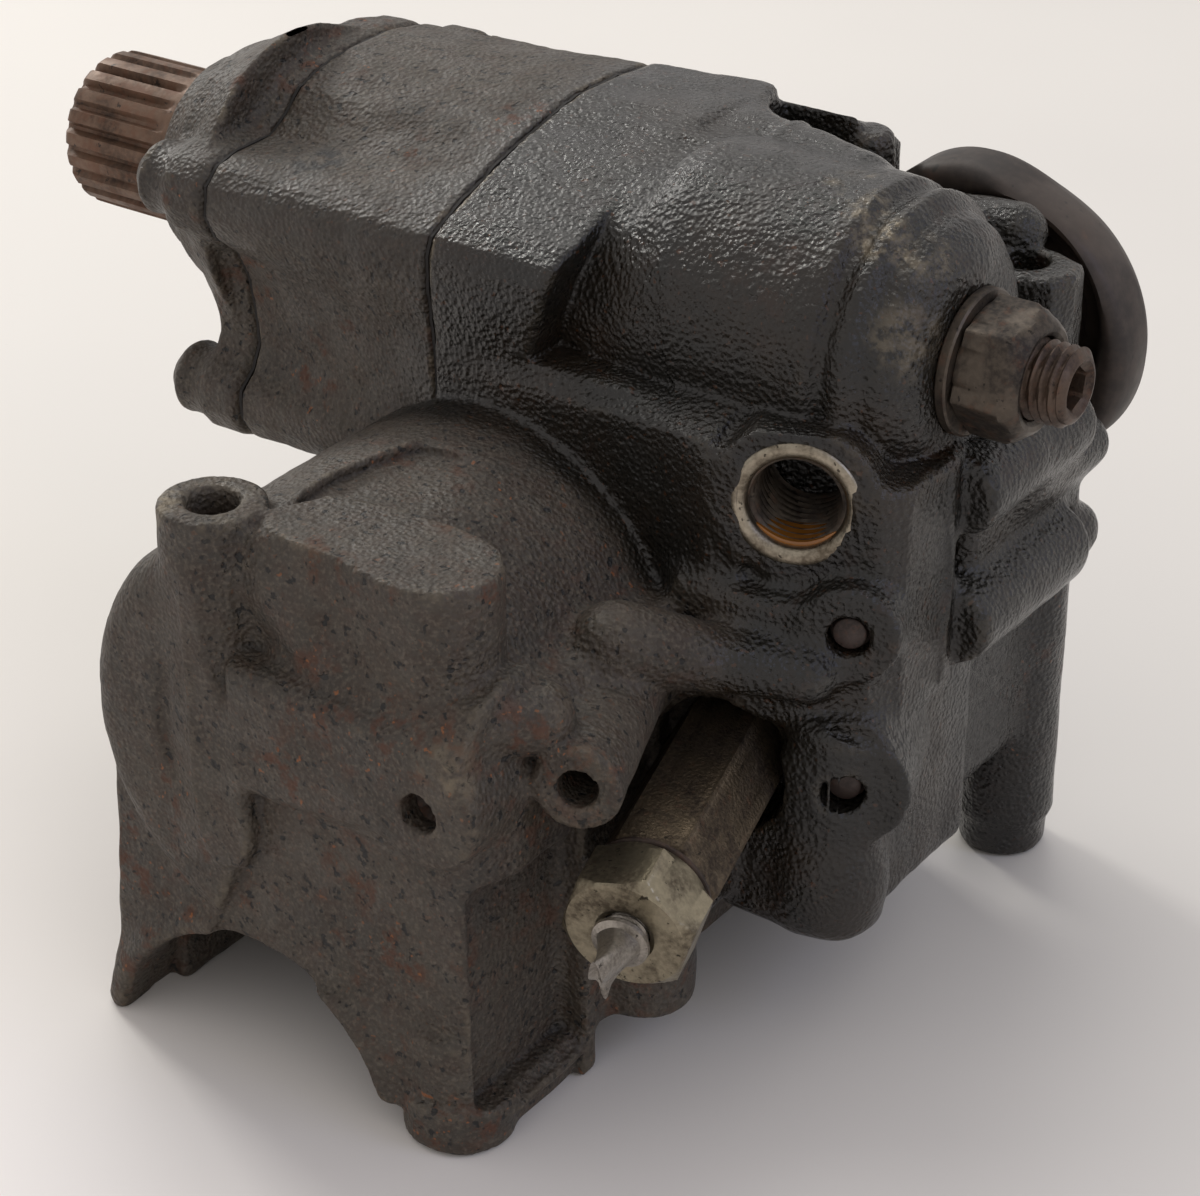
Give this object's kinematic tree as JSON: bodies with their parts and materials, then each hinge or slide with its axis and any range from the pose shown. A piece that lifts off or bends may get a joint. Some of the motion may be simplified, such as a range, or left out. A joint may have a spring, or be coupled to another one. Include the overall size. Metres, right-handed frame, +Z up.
{
  "type": "axial piston pump",
  "caption": "Axial piston pump with splined drive shaft, gear charge stage, cast saddle base, threaded side port and hex relief valve.",
  "frame": {"origin": "middle of the bounding box, on the plane of the feet", "axes": "+X along the drive shaft from the spline towards the adjuster, +Z up, -Y towards the relief valve side"},
  "size_m": [0.2406, 0.1962, 0.1695],
  "materials": {
    "iron_front": "dusty cast iron",
    "iron_main": "oily black cast iron",
    "gasket": "paper gasket",
    "steel": "ground steel",
    "rusty_steel": "brown surface rust",
    "bronze": "bearing bronze",
    "rubber": "black rubber",
    "nut_steel": "worn yellow plating",
    "stem_steel": "fresh sheared steel",
    "flange_iron": "brown oily iron"
  },
  "bodies": {
    "housing": {"front_cover": "iron_front", "cover_gasket": "gasket", "gear_housing": "iron_front", "housing_gasket": "gasket", "main_housing": "iron_main", "through_studs": "steel", "shaft_seal": "rubber", "front_bearing": "steel", "front_bush": "bronze", "rear_bush": "bronze", "valve_plate": "bronze", "swash_pin": "steel", "control_spring": "steel", "rear_bearing": "steel", "thrust_plate": "steel", "seal_washer": "steel", "lock_nut": "steel", "relief_body": "rusty_steel", "relief_washer": "rusty_steel", "relief_nut": "nut_steel", "relief_stem": "stem_steel", "relief_spring": "steel", "core_plugs": "rusty_steel", "broken_bolt": "rusty_steel", "passage_plugs": "steel"},
    "rotor": {"drive_shaft": "rusty_steel", "drive_gear": "steel", "cylinder_block": "steel", "pistons": "steel", "slippers": "bronze", "retainer_plate": "steel", "ball_guide": "steel", "block_spring": "steel"},
    "second_gear": {"driven_gear": "steel"},
    "swash": {"swash_plate": "steel"},
    "control": {"control_piston": "steel"},
    "poppet": {"relief_poppet": "steel"},
    "adjuster": {"adjusting_screw": "rusty_steel"},
    "flange": {"side_flange": "flange_iron", "side_bearing": "steel", "side_seal": "rubber"}
  },
  "joints": [
    {"name": "shaft_spin", "type": "hinge", "parent": "housing", "child": "rotor", "pos_m": [-0.12025, 0.0159, 0.138], "axis": [1, 0, 0], "continuous": true},
    {"name": "second_gear_spin", "type": "hinge", "parent": "housing", "child": "second_gear", "pos_m": [-0.03025, 0.0415, 0.1188], "axis": [1, 0, 0], "continuous": true},
    {"name": "swash_tilt", "type": "hinge", "parent": "housing", "child": "swash", "pos_m": [0.05585, 0.0159, 0.109], "axis": [0, 1, 0], "range_deg": [0, 10], "deforming": ["control_spring"]},
    {"name": "control_slide", "type": "slide", "parent": "housing", "child": "control", "axis": [1, 0, 0], "range_m": [-0.0038, 0]},
    {"name": "poppet_lift", "type": "slide", "parent": "housing", "child": "poppet", "axis": [0.2228, -0.9649, -0.1392], "range_m": [0, 0.002], "stiffness_N_per_m": 2000, "springref_m": -0.002, "deforming": ["relief_spring"]},
    {"name": "adjuster_feed", "type": "slide", "parent": "housing", "child": "adjuster", "axis": [1, 0, 0], "range_m": [0, 0.004]},
    {"name": "flange_spin", "type": "hinge", "parent": "housing", "child": "flange", "pos_m": [0.07375, 0.0819, 0.119], "axis": [0, 1, 0], "continuous": true}
  ],
  "couplings": [
    {"joint": "second_gear_spin", "follows": "shaft_spin", "ratio": -1},
    {"joint": "control_slide", "follows": "swash_tilt", "m_per_rad": -0.021}
  ]
}
